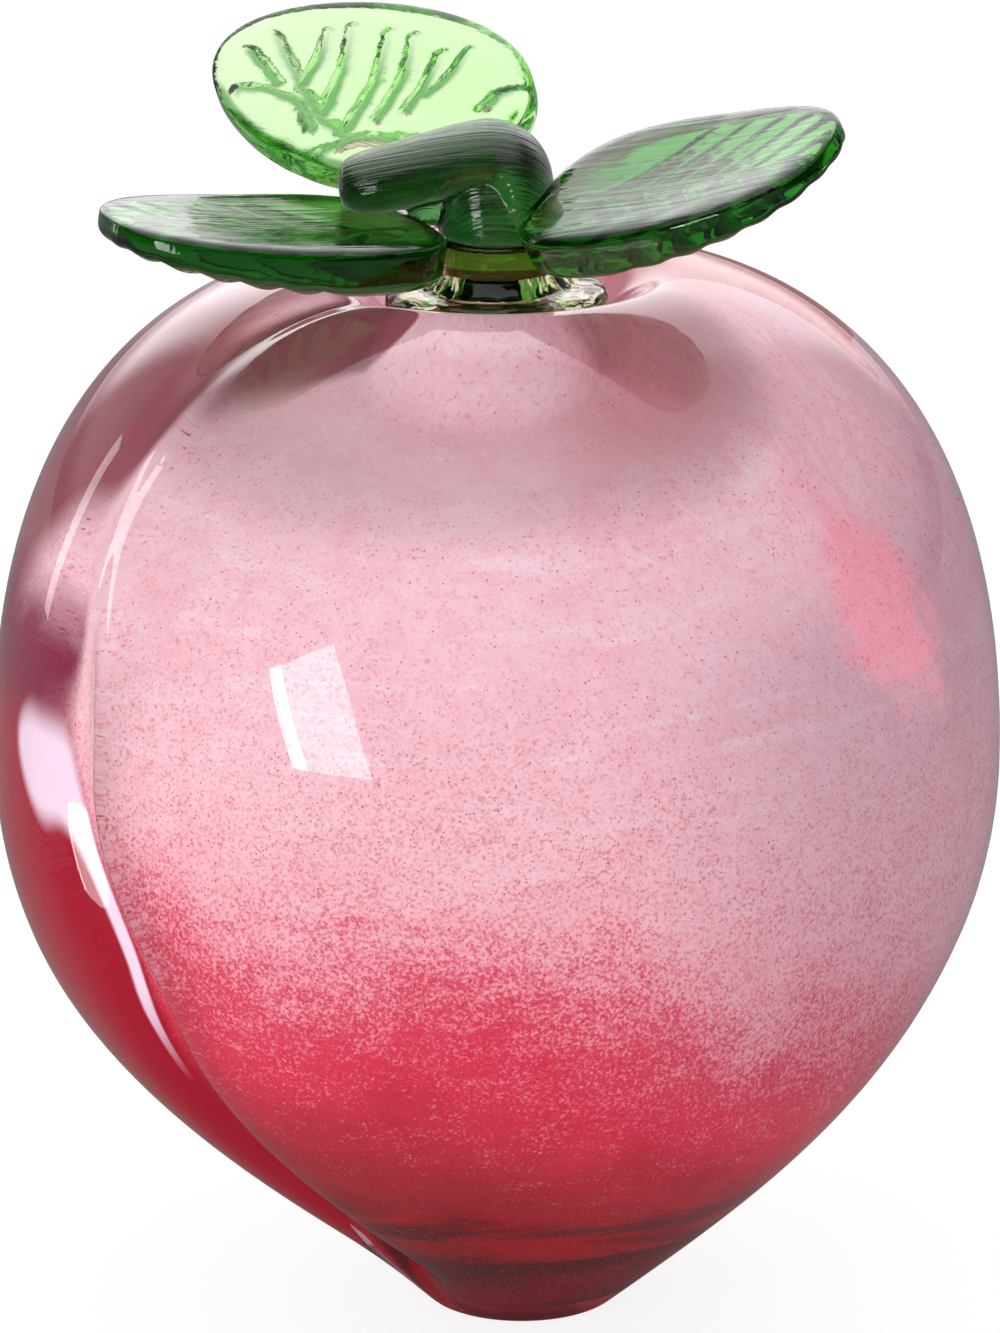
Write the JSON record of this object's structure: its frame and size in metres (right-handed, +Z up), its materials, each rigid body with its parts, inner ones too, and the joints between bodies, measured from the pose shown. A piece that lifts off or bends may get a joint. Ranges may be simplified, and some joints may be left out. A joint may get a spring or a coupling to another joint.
{
  "type": "glass peach figurine",
  "caption": "Solid glass peach with a pressed crease and a coloured core, topped by a bent green stem and pressed green leaves, standing on a ground foot.",
  "frame": {"origin": "middle of the ground foot, on the surface that the peach stands on", "axes": "+Z up along the peach, -Y towards the viewer of the picture, +X to the viewer's right"},
  "size_m": [0.08, 0.08, 0.1022],
  "materials": {
    "clear_glass": "fire-polished clear glass, faintly grey",
    "powder_colour": "melted red and pink glass powder, speckled, paler towards the top",
    "pale_pink_glass": "cloudy pale pink glass",
    "bead_glass": "clear bead with small bubbles",
    "olive_glass": "dark olive green glass with a row of small bubbles",
    "stem_glass": "dark green glass with fine drawn lines",
    "leaf_glass": "bottle green pressed glass, smooth above and veined below",
    "pale_leaf_glass": "bright green pressed glass, seen against the light"
  },
  "bodies": {
    "root": {"clear_casing": "clear_glass", "colour_layer": "powder_colour", "core_gather": "pale_pink_glass", "seat_bead": "bead_glass", "neck_post": "olive_glass", "stem": "stem_glass", "left_leaf": "leaf_glass", "right_leaf": "leaf_glass", "back_leaf": "pale_leaf_glass"}
  },
  "joints": []
}
